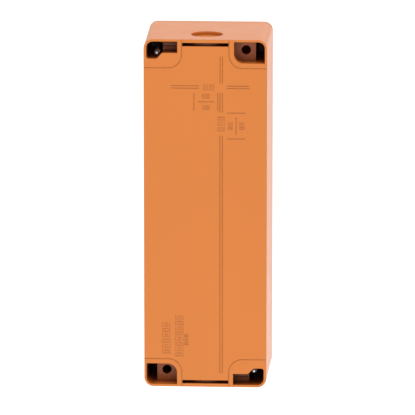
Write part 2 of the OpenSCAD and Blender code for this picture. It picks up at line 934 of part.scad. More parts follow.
module switch_board() color(board_green)
    difference() {
        translate([0, 0, button_z])
            slab(61.9, 63.5)
                rounded([54, 14], 1);
        for (x = [-10, 10])
            rod_y(60, 65, 1.2, x, button_z);
    }

module tact_switches() color(black_plastic)
    for (x = button_x) {
        box([x - 3, -64.6, button_z - 3], [x + 3, -63.5, button_z + 3]);
        rod_y(64.6, button_back - button_travel - 0.4, 1.5, x, button_z);
    }

module slot_bezel() color(black_plastic)
    difference() {
        union() {
            translate([0, 0, ticket_z]) {
                slab(case_d, case_d + 2.5)
                    rounded(bezel, 4);
                slab(66, case_d)
                    rounded([62, 14], 1.8);
            }
            for (x = [-31, 29.4])
                box([x, -66, ticket_z - 2], [x + 1.6, -flap_d + 1.8, ticket_z + 5]);
        }
        cross(-throat_w / 2, throat_w / 2)
            polygon([[-case_d - 3, ticket_z + 6.2], [-case_d, ticket_z + throat_h / 2],
                [-60, ticket_z + throat_h / 2], [-60, ticket_z - throat_h / 2],
                [-case_d, ticket_z - throat_h / 2], [-case_d - 3, ticket_z - 6.2]]);
        rod_x(-35, 35, 0.8 + run, -flap_d, flap_z);
    }

module slot_shutter() color(steel)
    union() {
        rod_x(-30.9, 30.9, 0.8, -flap_d, flap_z);
        box([-29, -flap_d - 0.4, flap_z - 6.2], [29, -flap_d + 0.4, flap_z]);
    }

module lock_body() color(steel)
    difference() {
        union() {
            rod_y(case_d, case_d + 1.8, 8, 0, lock_z);
            rod_y(60.4, case_d, lock_r - run, 0, lock_z);
        }
        rod_y(50, case_d + 3, 4 + run, 0, lock_z);
    }

module lock_plug() color(dark_steel)
    difference() {
        union() {
            rod_y(59.4, case_d + 1.2, 4, 0, lock_z);
            rod_y(57, 59.4, 2.4, 0, lock_z);
        }
        box([-2.8, -case_d - 3, lock_z - 0.6], [2.8, -case_d + 5, lock_z + 0.6]);
    }

module lock_cam() color(dark_steel)
    difference() {
        slab(57.6, 59.4) {
            translate([0, lock_z - 3.2])
                square([9.6, 6.4]);
            translate([0, lock_z])
                circle(3.2);
        }
        rod_y(50, 60, 2.4 + snug, 0, lock_z);
    }

module lock_nut() color(brass)
    difference() {
        translate([0, -pocket_d, lock_z])
            rotate([90, 30, 0])
                translate([0, 0, -3])
                    cylinder(r = 9, h = 3, $fn = 6);
        rod_y(60, 70, lock_r + run, 0, lock_z);
    }

rear_housing();
top_strike_plate();
earth_plate();
tower_screws();
hinge_pins();
main_board();
board_screws();
board_components();
terminal_block();
buzzer();
backup_cell();
mechanism_chassis();
chassis_screws();
tie_rods();
shaft_bushes();
lower_ticket_guide();
upper_ticket_guide();
feed_shaft();
feed_rollers();
feed_gear();
pinch_shaft();
pinch_rollers();
feed_motor();
motor_shaft();
motor_pinion();
solenoid_frame();
solenoid_coil();
print_hammer();
hammer_plunger();
hammer_clip();
hammer_spring();
wheel_carriage();
date_wheel_shaft();
date_wheels();
ribbon_bracket();
supply_spool();
takeup_spool();
ink_ribbon();
ticket_sensor();
front_cover();
cover_gasket();
display_window();
display_module();
display_board();
display_screws();
reader_panel();
antenna_board();
accept_lens();
refuse_lens();
button_left();
button_centre();
button_right();
switch_board();
tact_switches();
slot_bezel();
slot_shutter();
lock_body();
lock_plug();
lock_cam();
lock_nut();
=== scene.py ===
import json
import math

import bmesh
import bpy
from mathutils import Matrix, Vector


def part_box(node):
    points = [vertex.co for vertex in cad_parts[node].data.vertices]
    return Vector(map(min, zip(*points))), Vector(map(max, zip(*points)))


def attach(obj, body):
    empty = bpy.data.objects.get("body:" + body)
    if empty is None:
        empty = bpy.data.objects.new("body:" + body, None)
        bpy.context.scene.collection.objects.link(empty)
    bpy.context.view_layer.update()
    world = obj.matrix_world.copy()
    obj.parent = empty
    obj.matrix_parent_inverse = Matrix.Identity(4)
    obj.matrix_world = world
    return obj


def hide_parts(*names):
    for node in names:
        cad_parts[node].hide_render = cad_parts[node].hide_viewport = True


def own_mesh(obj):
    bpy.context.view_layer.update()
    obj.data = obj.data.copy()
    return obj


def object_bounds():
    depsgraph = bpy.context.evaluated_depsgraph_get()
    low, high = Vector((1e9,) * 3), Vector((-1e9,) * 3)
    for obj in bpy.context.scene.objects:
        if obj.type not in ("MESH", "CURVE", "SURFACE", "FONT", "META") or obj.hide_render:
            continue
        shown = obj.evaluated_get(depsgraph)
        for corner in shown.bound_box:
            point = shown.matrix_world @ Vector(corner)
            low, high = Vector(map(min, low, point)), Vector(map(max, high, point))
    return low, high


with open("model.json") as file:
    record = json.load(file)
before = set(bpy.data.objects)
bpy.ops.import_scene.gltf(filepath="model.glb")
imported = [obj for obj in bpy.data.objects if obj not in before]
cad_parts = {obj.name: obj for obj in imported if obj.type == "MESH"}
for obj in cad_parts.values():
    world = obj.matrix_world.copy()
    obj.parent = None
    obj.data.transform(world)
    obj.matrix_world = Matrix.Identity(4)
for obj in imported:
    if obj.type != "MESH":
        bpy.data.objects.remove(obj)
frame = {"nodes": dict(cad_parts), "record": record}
cad_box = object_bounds()

MM = 0.001

# ---- camera, floor and light ----

CAMERA = {"azimuth": 183.18, "elevation": 11.47, "distance": 3.0, "lens": 409.8}
# the point that the camera looks at: how far in front of the wall face, and how far below and beside it
AIM_DEPTH = 35 * MM
AIM_DOWN = 2.52 * MM
AIM_SIDE = 0.54 * MM

FLOOR_DROP = 0.35
FLOOR_HALF = 12.0
FLOOR_GLOW = 0.5
# what the studio's walls and ceiling give back to the object; the camera sees them white
STUDIO_GLOW = 0.72

# each lamp's azimuth, elevation and power; all are discs of one size at one distance
LAMPS = {"overhead": (190, 68, 7.6), "front_low": (0, 12, 0.5), "front_key": (330, 45, 5.0)}
LAMP_DISTANCE = 1.6
LAMP_SIZE = 0.9


def towards(azimuth, elevation):
    """Unit vector from the object to a viewer at that azimuth and elevation, in degrees."""
    a, e = math.radians(azimuth), math.radians(elevation)
    return Vector((math.sin(a) * math.cos(e), -math.cos(a) * math.cos(e), math.sin(e)))


def looking(name, data, aim, back, distance):
    """A camera or lamp that looks at the point aim from a distance along back."""
    made = bpy.data.objects.new(name, data)
    made.rotation_mode = "QUATERNION"
    made.rotation_quaternion = (-back).to_track_quat("-Z", "Y")
    made.location = aim + back * distance
    bpy.context.scene.collection.objects.link(made)
    return made


def make_camera():
    """The view from behind and a little above, through a long lens."""
    low, high = cad_box
    middle = Vector((0.0, -AIM_DEPTH, (low.z + high.z) / 2))
    back = towards(CAMERA["azimuth"], CAMERA["elevation"])
    turn = (-back).to_track_quat("-Z", "Y")
    aim = middle + turn @ Vector((-AIM_SIDE, -AIM_DOWN, 0.0))
    data = bpy.data.cameras.new("view")
    data.lens = CAMERA["lens"]
    data.sensor_width = 36.0
    data.clip_end = 50.0
    bpy.context.scene.camera = looking("view", data, aim, back, CAMERA["distance"])


def make_floor():
    """A plain pale floor, well below the object."""
    mesh = bpy.data.meshes.new("floor")
    z = cad_box[0].z - FLOOR_DROP
    ends = ((-1, -1), (1, -1), (1, 1), (-1, 1))
    mesh.from_pydata([(sx * FLOOR_HALF, sy * FLOOR_HALF, z) for sx, sy in ends], [], [(0, 1, 2, 3)])
    floor = bpy.data.objects.new("floor", mesh)
    bpy.context.scene.collection.objects.link(floor)
    paint = bpy.data.materials.new("pale_floor")
    paint.use_nodes = True
    shader = paint.node_tree.nodes["Principled BSDF"]
    shader.inputs["Base Color"].default_value = (0.93, 0.93, 0.93, 1)
    shader.inputs["Roughness"].default_value = 0.9
    shader.inputs["Specular IOR Level"].default_value = 0.0
    shader.inputs["Emission Color"].default_value = (1, 1, 1, 1)
    shader.inputs["Emission Strength"].default_value = FLOOR_GLOW
    mesh.materials.append(paint)


def make_studio():
    """White surroundings and the lamps."""
    world = bpy.data.worlds.new("studio")
    world.use_nodes = True
    tree = world.node_tree
    sky = tree.nodes["Background"]
    sky.inputs["Color"].default_value = (1, 1, 1, 1)
    seen = tree.nodes.new("ShaderNodeLightPath").outputs["Is Camera Ray"]
    level = tree.nodes.new("ShaderNodeMapRange")
    level.inputs["To Min"].default_value = STUDIO_GLOW
    level.inputs["To Max"].default_value = 1.0
    tree.links.new(seen, level.inputs["Value"])
    tree.links.new(level.outputs["Result"], sky.inputs["Strength"])
    bpy.context.scene.world = world
    bpy.context.scene.view_settings.view_transform = "Standard"

    for name, (azimuth, elevation, power) in LAMPS.items():
        data = bpy.data.lights.new(name, "AREA")
        data.shape = "DISK"
        data.size = LAMP_SIZE
        data.energy = power
        looking(name, data, Vector(), towards(azimuth, elevation), LAMP_DISTANCE)


# ---- material building blocks ----

# the values that a noise texture stays between; a ramp over less would leave flat islands in it
NOISE_SPAN = (0.15, 0.85)
# how much of the surroundings a face sees where its shade starts, and where it is full
OPEN_FACE, CLOSED_IN = 0.72, 0.1
# what the colour of a shaded face is multiplied by
SHADE = (0.22, 0.14, 0.07)
# how far inside the object's box the shade starts, in X and in Z
SKIN = (1.2 * MM, 1.4 * MM)


class Paint:
    """A node material: short calls for the nodes that every finish uses."""

    def __init__(self, name, colour, rough, metal=0.0, ior=1.47):
        self.material = bpy.data.materials.new(name)
        self.material.use_nodes = True
        self.tree = self.material.node_tree
        self.shader = self.tree.nodes["Principled BSDF"]
        self.colour = (*colour, 1.0)
        self.set("Base Color", self.colour)
        self.set("Roughness", rough)
        self.set("Metallic", metal)
        self.set("IOR", ior)
        self.place = self.node("ShaderNodeTexCoord").outputs["Object"]
        self.bump_in = None

    def node(self, kind, **settings):
        made = self.tree.nodes.new(kind)
        for key, value in settings.items():
            setattr(made, key, value)
        return made

    def link(self, out, into):
        self.tree.links.new(out, into)

    def set(self, socket, value):
        self.shader.inputs[socket].default_value = value

    def noise(self, scale, detail=3.0, stretch=None):
        made = self.node("ShaderNodeTexNoise")
        made.inputs["Scale"].default_value = scale
        made.inputs["Detail"].default_value = detail
        made.inputs["Roughness"].default_value = 0.55
        self.link(self.stretched(stretch), made.inputs["Vector"])
        return made.outputs["Fac"]

    def stretched(self, stretch):
        """Object coordinates, multiplied along each axis."""
        if stretch is None:
            return self.place
        made = self.node("ShaderNodeMapping")
        made.inputs["Scale"].default_value = stretch
        self.link(self.place, made.inputs["Vector"])
        return made.outputs["Vector"]

    def turned(self, tilt=0):
        """Object coordinates with the wall's plane laid flat, then turned by tilt degrees."""
        made = self.node("ShaderNodeMapping")
        made.inputs["Rotation"].default_value = (math.radians(90), 0, math.radians(tilt))
        self.link(self.place, made.inputs["Vector"])
        return made.outputs["Vector"]

    def ramp(self, value, low, high, to_low=0.0, to_high=1.0):
        """The value's way from low to high, as a number from to_low to to_high."""
        made = self.node("ShaderNodeMapRange")
        ends = {"From Min": low, "From Max": high, "To Min": to_low, "To Max": to_high}
        for socket, number in ends.items():
            made.inputs[socket].default_value = number
        self.link(value, made.inputs["Value"])
        return made.outputs["Result"]

    def math(self, operation, a, b):
        made = self.node("ShaderNodeMath", operation=operation)
        for socket, value in zip(made.inputs, (a, b)):
            if isinstance(value, (int, float)):
                socket.default_value = value
            else:
                self.link(value, socket)
        return made.outputs["Value"]

    def mix(self, factor, a, b):
        made = self.node("ShaderNodeMix", data_type="RGBA")
        colours = [s for s in made.inputs if s.type == "RGBA"]
        for socket, value in zip((made.inputs["Factor"], *colours), (factor, a, b)):
            if isinstance(value, (int, float, tuple)):
                socket.default_value = value
            else:
                self.link(value, socket)
        return next(s for s in made.outputs if s.type == "RGBA")

    def bricks(self, scale, gap, width, height, **settings):
        made = self.node("ShaderNodeTexBrick", **settings)
        for socket, number in (("Scale", scale), ("Mortar Size", gap), ("Brick Width", width),
                               ("Row Height", height)):
            made.inputs[socket].default_value = number
        return made

    def tint(self, amount):
        """The base colour made lighter (above 1) or darker."""
        return tuple(min(1.0, c * amount) for c in self.colour[:3]) + (1.0,)

    def vary(self, scale, spread, stretch=None):
        """Slow mottling of the base colour."""
        blend = self.ramp(self.noise(scale, 4.0, stretch), *NOISE_SPAN)
        out = self.mix(blend, self.tint(1 - spread), self.tint(1 + spread))
        self.link(out, self.shader.inputs["Base Color"])
        return out

    def uneven_gloss(self, scale, low, high, stretch=None):
        """Roughness that wanders between two values."""
        gloss = self.ramp(self.noise(scale, 3.0, stretch), *NOISE_SPAN, low, high)
        self.link(gloss, self.shader.inputs["Roughness"])

    def bump(self, height, strength, distance):
        made = self.node("ShaderNodeBump")
        made.inputs["Strength"].default_value = strength
        made.inputs["Distance"].default_value = distance
        self.link(height, made.inputs["Height"])
        if self.bump_in is not None:
            self.link(self.bump_in, made.inputs["Normal"])
        self.bump_in = made.outputs["Normal"]
        self.link(self.bump_in, self.shader.inputs["Normal"])

    def soft_edges(self, radius):
        """Rounds the edges that the light sees, as a mould or a tumbler leaves them."""
        made = self.node("ShaderNodeBevel", samples=4)
        made.inputs["Radius"].default_value = radius
        self.bump_in = made.outputs["Normal"]
        self.link(self.bump_in, self.shader.inputs["Normal"])
        return self.bump_in

    def split(self, vector):
        made = self.node("ShaderNodeSeparateXYZ")
        self.link(vector, made.inputs["Vector"])
        return made.outputs["X"], made.outputs["Y"], made.outputs["Z"]

    def shade_depth(self, reach, skin_x, skin_z):
        """Mask for painted shade: 0 on open faces and 1 between close walls, for what lies inside the case's
        outer skin.
        """
        made = self.node("ShaderNodeAmbientOcclusion", samples=12, only_local=True)
        made.inputs["Distance"].default_value = reach
        shade = self.ramp(made.outputs["AO"], OPEN_FACE, CLOSED_IN)
        x, _, z = self.split(self.place)
        for along, limit in ((x, skin_x), (z, skin_z)):
            inside = self.math("LESS_THAN", self.math("ABSOLUTE", along, 0.0), limit)
            shade = self.math("MULTIPLY", shade, inside)
        return shade

    def edge_mask(self, rounded):
        """1 along sharp edges and 0 on flat faces."""
        flat = self.node("ShaderNodeNewGeometry").outputs["Normal"]
        dot = self.node("ShaderNodeVectorMath", operation="DOT_PRODUCT")
        self.link(flat, dot.inputs[0])
        self.link(rounded, dot.inputs[1])
        return self.ramp(dot.outputs["Value"], 0.995, 0.86)


# ---- finishes ----


def moulded(name, colour, rough, grain=0.25, edge_tint=1.12, edge=0.35 * MM, painted_shade_reach=0.0):
    """Injection-moulded plastic: fine spark-eroded grain, faint flow mottling, a lighter colour along sharp
    edges.

    Where a reach is given, painted shade darkens the colour of what lies deeper than that between walls.
    """
    p = Paint(name, colour, rough)
    rounded = p.soft_edges(edge)
    base = p.vary(14.0, 0.035, (1.0, 1.0, 0.35))
    # the colour is lighter along sharp edges
    base = p.mix(p.edge_mask(rounded), base, p.tint(edge_tint))
    # painted shade: the colour darkens towards SHADE where ambient occlusion finds close walls
    if painted_shade_reach:
        deep = tuple(c * k for c, k in zip(colour, SHADE)) + (1.0,)
        shade = p.shade_depth(painted_shade_reach, cad_box[1].x - SKIN[0], cad_box[1].z - SKIN[1])
        base = p.mix(shade, base, deep)
    p.link(base, p.shader.inputs["Base Color"])
    # the case's gloss stays over 0.28: where it passes 0.27 the denoiser leaves a faint outline
    p.uneven_gloss(60.0, rough - 0.02, rough + 0.07)
    p.bump(p.noise(2600.0, 2.0), grain, 0.03 * MM)
    return p


def metal(name, colour, rough, stretch=(1.0, 1.0, 30.0), spangle=0.08):
    """Rolled or turned metal with fine directional marks and a mottled plating."""
    p = Paint(name, colour, rough, metal=1.0)
    rounded = p.soft_edges(0.2 * MM)
    base = p.vary(140.0, spangle)
    p.link(p.mix(p.edge_mask(rounded), base, p.tint(1.35)), p.shader.inputs["Base Color"])
    p.uneven_gloss(900.0, rough - 0.08, rough + 0.12, stretch)
    p.bump(p.noise(700.0, 3.0, stretch), 0.12, 0.03 * MM)
    return p


def rubber(name, colour):
    """Dull, uneven rubber with a pitted skin."""
    p = Paint(name, colour, 0.78)
    p.soft_edges(0.3 * MM)
    p.vary(90.0, 0.2)
    p.bump(p.noise(1500.0, 4.0), 0.4, 0.06 * MM)
    return p


def circuit_board(name, colour):
    """Solder mask over copper: tracks run across in some fields and upright in others, past tinned pads."""
    p = Paint(name, colour, 0.34)
    p.soft_edges(0.1 * MM)
    cells = p.node("ShaderNodeTexVoronoi", feature="F1")
    cells.inputs["Scale"].default_value = 210.0
    fields = p.node("ShaderNodeTexVoronoi", feature="F1", distance="CHEBYCHEV")
    fields.inputs["Scale"].default_value = 42.0
    for texture in (cells, fields):
        p.link(p.turned(), texture.inputs["Vector"])
    runs = []
    for tilt in (0, 90):
        tracks = p.bricks(62.0, 0.011, 1.4, 0.062, offset=0.37, squash=2.3, squash_frequency=3)
        p.link(p.turned(tilt), tracks.inputs["Vector"])
        runs.append(tracks.outputs["Fac"])
    upright = p.math("GREATER_THAN", p.split(fields.outputs["Color"])[0], 0.5)
    copper = p.mix(upright, *runs)
    pads = p.ramp(cells.outputs["Distance"], 0.16, 0.13)
    finish = p.mix(pads, p.mix(copper, p.tint(1.6), p.tint(1.0)), (0.62, 0.6, 0.52, 1.0))
    p.link(finish, p.shader.inputs["Base Color"])
    p.link(p.math("MULTIPLY", pads, 0.9), p.shader.inputs["Metallic"])
    p.bump(copper, 0.3, 0.04 * MM)
    return p


def winding(name, colour):
    """Enamelled wire, one turn beside the next."""
    p = Paint(name, colour, 0.4)
    lines = p.node("ShaderNodeTexWave", bands_direction="Z")
    lines.inputs["Scale"].default_value = 620.0
    lines.inputs["Distortion"].default_value = 0.4
    p.link(p.place, lines.inputs["Vector"])
    p.link(p.mix(lines.outputs["Fac"], p.tint(0.35), p.tint(1.3)), p.shader.inputs["Base Color"])
    p.bump(lines.outputs["Fac"], 0.6, 0.1 * MM)
    return p


def woven_ribbon(name, colour):
    """Inked cloth with a fine weave."""
    p = Paint(name, colour, 0.85)
    weave = p.bricks(1400.0, 0.05, 0.5, 0.25, offset=0.5)
    p.link(p.place, weave.inputs["Vector"])
    p.link(p.mix(weave.outputs["Fac"], p.tint(1.5), p.tint(0.5)), p.shader.inputs["Base Color"])
    p.bump(weave.outputs["Fac"], 0.4, 0.05 * MM)
    return p


def clear(name, colour, rough, through, glow=0.0):
    """Tinted transparent plastic with faint flow marks."""
    p = Paint(name, colour, rough, ior=1.49)
    p.soft_edges(0.25 * MM)
    p.vary(160.0, 0.08)
    p.set("Transmission Weight", through)
    p.uneven_gloss(400.0, rough, rough + 0.05)
    if glow:
        p.set("Emission Color", p.tint(1.0))
        p.set("Emission Strength", glow)
    return p


CRYSTAL_SUNK = 0.6  # how deep the crystal lies in the display module's front, in millimetres


def crystal_panel(name, colour, floor):
    """Backlit liquid crystal with a faint pixel grid, sunk to the depth floor in a black frame."""
    p = Paint(name, colour, 0.3)
    grid = p.bricks(1500.0, 0.06, 0.5, 0.5, offset=0.0)
    p.link(p.turned(), grid.inputs["Vector"])
    lit = p.mix(p.ramp(p.noise(30.0), *NOISE_SPAN), p.tint(0.8), p.tint(1.15))
    cells = p.mix(grid.outputs["Fac"], lit, p.tint(0.6))
    sunk = p.ramp(p.split(p.place)[1], -floor - 0.2 * MM, -floor - 0.1 * MM)
    dark, less_dark = (0.012, 0.012, 0.013, 1.0), (0.015, 0.015, 0.016, 1.0)
    border = p.mix(p.noise(900.0), dark, less_dark)
    shown = p.mix(sunk, border, cells)
    p.link(shown, p.shader.inputs["Base Color"])
    p.link(shown, p.shader.inputs["Emission Color"])
    p.set("Emission Strength", 0.9)
    return p


def make_finishes():
    """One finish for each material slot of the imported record."""
    crystal_depth = -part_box("display_module")[0].y - CRYSTAL_SUNK * MM
    made = {
        # the case's colour carries painted shade in its pockets, wells and slots, over a 14 mm reach
        "case_plastic": moulded("orange_moulding", (0.685, 0.197, 0.026), 0.3, grain=0.12, edge=0.6 * MM,
                                painted_shade_reach=14 * MM),
        "plated_steel": metal("zinc_plate", (0.60, 0.61, 0.62), 0.34),
        "dark_steel": metal("blackened_steel", (0.09, 0.09, 0.1), 0.42, spangle=0.15),
        "brass": metal("turned_brass", (0.66, 0.47, 0.17), 0.28, (30.0, 1.0, 1.0)),
        "circuit_board": circuit_board("solder_mask", (0.012, 0.12, 0.05)),
        "component_black": moulded("component_black", (0.022, 0.022, 0.025), 0.5, 0.4, 1.8, 0.15 * MM),
        "terminal_green": moulded("terminal_green", (0.03, 0.24, 0.09), 0.42, 0.3, 1.3, 0.2 * MM),
        "guide_black": moulded("textured_black", (0.016, 0.016, 0.018), 0.46, 0.7, 2.2, 0.3 * MM),
        "rubber": rubber("black_rubber", (0.018, 0.018, 0.018)),
        "gear_grey": moulded("bearing_plastic", (0.56, 0.54, 0.48), 0.42, 0.2, 1.15, 0.15 * MM),
        "coil_copper": winding("copper_winding", (0.42, 0.12, 0.04)),
        "wheel_ivory": moulded("ivory_plastic", (0.7, 0.67, 0.57), 0.45, 0.3, 1.1, 0.15 * MM),
        "ink_fabric": woven_ribbon("inked_ribbon", (0.03, 0.015, 0.08)),
        "smoked_window": clear("smoked_window", (0.5, 0.52, 0.55), 0.02, 1.0),
        "display_glass": crystal_panel("crystal_panel", (0.34, 0.42, 0.2), crystal_depth),
        "reader_grey": moulded("reader_grey", (0.06, 0.065, 0.075), 0.5, 0.8, 1.5, 0.4 * MM),
        "lens_green": clear("green_lens", (0.03, 0.5, 0.14), 0.12, 0.45, 0.25),
        "lens_red": clear("red_lens", (0.6, 0.02, 0.015), 0.12, 0.45, 0.12),
        "button_grey": moulded("button_grey", (0.3, 0.31, 0.32), 0.4, 0.5, 1.2, 0.5 * MM),
    }
    return {slot: paint.material for slot, paint in made.items()}


def smooth_group():
    """Modifier that joins a CAD mesh's seams and shades its round stretches smooth."""
    group = bpy.data.node_groups.new("smooth_by_angle", "GeometryNodeTree")
    for way in ("INPUT", "OUTPUT"):
        group.interface.new_socket("Geometry", in_out=way, socket_type="NodeSocketGeometry")
    add = group.nodes.new
    start, end = add("NodeGroupInput"), add("NodeGroupOutput")
    weld = add("GeometryNodeMergeByDistance")
    weld.inputs["Distance"].default_value = 0.001 * MM
    angle = add("GeometryNodeInputMeshEdgeAngle")
    flat = add("FunctionNodeCompare")
    flat.operation = "LESS_THAN"
    flat.inputs[1].default_value = math.radians(28)
    faces, edges = add("GeometryNodeSetShadeSmooth"), add("GeometryNodeSetShadeSmooth")
    faces.domain, edges.domain = "FACE", "EDGE"
    for out, into in (
        (start.outputs[0], weld.inputs["Geometry"]),
        (weld.outputs["Geometry"], faces.inputs["Geometry"]),
        (faces.outputs["Geometry"], edges.inputs["Geometry"]),
        (angle.outputs["Unsigned Angle"], flat.inputs[0]),
        (flat.outputs[0], edges.inputs["Shade Smooth"]),
        (edges.outputs["Geometry"], end.inputs[0]),
    ):
        group.links.new(out, into)
    return group


def dress_cad():
    """Gives every CAD node its slot's finish and smooth shading."""
    slot_of = {s["node"]: s["material_slot"] for s in frame["record"]["subparts"]}
    for name, piece in frame["nodes"].items():
        for place in piece.material_slots:
            place.material = finishes[slot_of[name]]
        if not piece.material_slots:
            piece.data.materials.append(finishes[slot_of[name]])
        piece.modifiers.new("smooth", "NODES").node_group = smooth


# ---- mesh building blocks ----

ROOT = 0.05  # how far a detail reaches into what it stands on
AXIS = 0.05  # how near a turned detail comes to its own axis


def facing(u, v, h):
    """An outline in X and Z, standing h in front of the wall face."""
    return (u, -h, v)


def about(x, z):
    """Places a turned profile whose axis points forward at x and z."""
    return lambda u, v, h: (x + u, -h, z + v)


def along_x(u, v, h):
    """An outline in Y and Z, at x = h."""
    return (h, u, v)


def circle(x, z, r, steps=32):
    turns = [2 * math.pi * i / steps for i in range(steps)]
    return [(x + r * math.cos(a), z + r * math.sin(a)) for a in turns]


def polar(at, r, a):
    """A point at a radius and an angle from a centre."""
    return at.x + r * math.cos(a), at.z + r * math.sin(a)


def rounded(x, z, width, height, r, steps=5):
    """A rectangle with round corners about a centre."""
    points = []
    for corner, (sx, sz) in enumerate(((1, 1), (-1, 1), (-1, -1), (1, -1))):
        cx, cz = x + sx * (width / 2 - r), z + sz * (height / 2 - r)
        for i in range(steps + 1):
            a = math.radians(90 * corner + 90 * i / steps)
            points.append((cx + r * math.cos(a), cz + r * math.sin(a)))
    return points


def rectangle(x, z, width, height):
    return [(x + sx * width / 2, z + sz * height / 2) for sx, sz in ((1, 1), (-1, 1), (-1, -1), (1, -1))]


def hexagon(x, z, across, steps=4):
    """A hexagon with extra points along its sides, so that it pairs with a circle of 6 x steps points."""
    tips = circle(x, z, across / math.sqrt(3), 6)
    points = []
    for a, b in zip(tips, tips[1:] + tips[:1]):
        points += [tuple(p + (q - p) * i / steps for p, q in zip(a, b)) for i in range(steps)]
    return points


def bar(start, end, thick):
    """A straight stroke with pointed ends."""
    (x0, z0), (x1, z1) = start, end
    long = math.hypot(x1 - x0, z1 - z0)
    ux, uz = (x1 - x0) / long * thick / 2, (z1 - z0) / long * thick / 2
    return [(x0, z0), (x0 + ux + uz, z0 + uz - ux), (x1 - ux + uz, z1 - uz - ux), (x1, z1),
            (x1 - ux - uz, z1 - uz + ux), (x0 + ux - uz, z0 + uz + ux)]


class Shape:
    """A mesh of closed solids, given in millimetres in the CAD's frame."""

    def __init__(self):
        self.mesh = bmesh.new()

    def loop(self, outline, h, place):
        """The corners of an outline at one height."""
        return [self.mesh.verts.new(Vector(place(u, v, h)) * MM) for u, v in outline]

    def walls(self, lower, upper):
        """Faces between two closed loops of as many corners."""
        count = len(lower)
        for i in range(count):
            self.mesh.faces.new((lower[i], lower[(i + 1) % count], upper[(i + 1) % count], upper[i]))

    def prism(self, outline, low, high, place=facing):
        """An outline made solid from one height to another."""
        lower, upper = (self.loop(outline, h, place) for h in (low, high))
        self.mesh.faces.new(lower)
        self.mesh.faces.new(upper)
        self.walls(lower, upper)

    def taper(self, outline, tip, low, high, place=facing):
        """A prism whose upper outline is another one of as many points."""
        lower, upper = self.loop(outline, low, place), self.loop(tip, high, place)
        self.mesh.faces.new(lower)
        self.mesh.faces.new(upper)
        self.walls(lower, upper)

    def frame(self, outer, inner, low, high, place=facing):
        """A solid between two outlines of as many points."""
        loops = [self.loop(outline, h, place) for outline, h in
                 ((outer, low), (outer, high), (inner, high), (inner, low))]
        for first, second in zip(loops, loops[1:] + loops[:1]):
            self.walls(first, second)

    def lathe(self, profile, place, steps=40):
        """A closed profile of (radius, height) turned about an axis; place takes (u, v, height)."""
        rings = [[self.mesh.verts.new(Vector(place(r * math.cos(a), r * math.sin(a), h)) * MM)
                  for r, h in profile] for a in (2 * math.pi * i / steps for i in range(steps))]
        for first, second in zip(rings, rings[1:] + rings[:1]):
            self.walls(first, second)

    def done(self, name, body, slot, bevel=0.0):
        """Makes the piece, which rides on a body and wears a slot's finish."""
        bmesh.ops.recalc_face_normals(self.mesh, faces=self.mesh.faces)
        data = bpy.data.meshes.new(name)
        self.mesh.to_mesh(data)
        self.mesh.free()
        data.materials.append(finishes[slot])
        piece = bpy.data.objects.new(name, data)
        bpy.context.scene.collection.objects.link(piece)
        if bevel:
            rounding = piece.modifiers.new("rounding", "BEVEL")
            rounding.width = bevel * MM
            rounding.segments = 2
            rounding.limit_method = "ANGLE"
            rounding.angle_limit = math.radians(40)
        piece.modifiers.new("smooth", "NODES").node_group = smooth
        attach(piece, body)
        return piece


def corners(node):
    """A CAD node's lowest and highest corner, in millimetres."""
    return [Vector(corner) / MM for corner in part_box(node)]


def centre(node):
    low, high = corners(node)
    return (low + high) / 2


def span(node):
    """A CAD node's lowest corner, highest corner and middle."""
    return (*corners(node), centre(node))


def front_of(node):
    """How far a CAD node's front stands out from the wall face."""
    return -corners(node)[0].y


def back_of(node):
    return -corners(node)[1].y


def solids(node):
    """The lowest and highest corner of each separate solid in a CAD node, in millimetres."""
    mesh = bmesh.new()
    mesh.from_mesh(frame["nodes"][node].data)
    bmesh.ops.remove_doubles(mesh, verts=mesh.verts, dist=0.001 * MM)
    left, found = set(mesh.verts), []
    while left:
        island, edge = set(), [left.pop()]
        while edge:
            vert = edge.pop()
            island.add(vert)
            for link in vert.link_edges:
                other = link.other_vert(vert)
                if other in left:
                    left.discard(other)
                    edge.append(other)
        places = [vert.co / MM for vert in island]
        found.append([Vector([pick(p[i] for p in places) for i in range(3)]) for pick in (min, max)])
    mesh.free()
    return sorted(found, key=lambda pair: (round(pair[0].z, 2), round(pair[0].x, 2)))


# ---- cover details ----

# how far a mark stands out of the surface under it, and how far it reaches in
PROUD, SUNK = 0.3, 0.2


def on_face(node):
    """The depths between which a mark on a node's front face lies."""
    face = front_of(node)
    return face - SUNK, face + PROUD


def ticket_arrows():
    """Three chevrons under the slot, pointing into it."""
    low, high = on_face("front_cover")
    gap, half, rise, thick, pitch = 9.5, 7.5, 5.0, 2.6, 6.4
    first = corners("slot_bezel")[0].z - gap
    arrows = Shape()
    for i in range(3):
        z = first - i * pitch
        arrows.prism([(-half, z), (0, z + rise), (half, z), (half, z - thick), (0, z + rise - thick),
                      (-half, z - thick)], low, high)
    arrows.done("ticket_arrows", "cover", "reader_grey", 0.12)


def reader_marks():
    """Corner brackets and a blank card on the reader panel, to show where a card is held."""
    low, high = on_face("reader_panel")
    at = centre("reader_panel")
    marks = Shape()
    reach_x, reach_z, arm, thick = 23.0, 13.5, 6.0, 1.0
    bracket = [(0, 0), (arm, 0), (arm, thick), (thick, thick), (thick, arm), (0, arm)]
    for sx in (-1, 1):
        for sz in (-1, 1):
            outline = [(at.x + sx * (reach_x - u), at.z + sz * (reach_z - v)) for u, v in bracket]
            marks.prism(outline, low, high)
    card = rounded(at.x, at.z, 25, 15.6, 2)
    marks.frame(card, rounded(at.x, at.z, 23, 13.6, 1), low, high)
    chip = rounded(at.x - 6.5, at.z + 1.5, 5, 4, 0.8)
    marks.prism(chip, low, high)
    for z in (-3.6, -1.6):
        marks.prism(rectangle(at.x + 4.5, at.z + z, 11, 0.8), low, high)
    marks.done("reader_marks", "cover", "wheel_ivory", 0.08)


SEGMENTS = {  # the strokes of a seven-segment figure, on a grid two high and one wide
    "a": ((0, 2), (1, 2)), "b": ((1, 2), (1, 1)), "c": ((1, 1), (1, 0)), "d": ((0, 0), (1, 0)),
    "e": ((0, 1), (0, 0)), "f": ((0, 2), (0, 1)), "g": ((0, 1), (1, 1)),
}
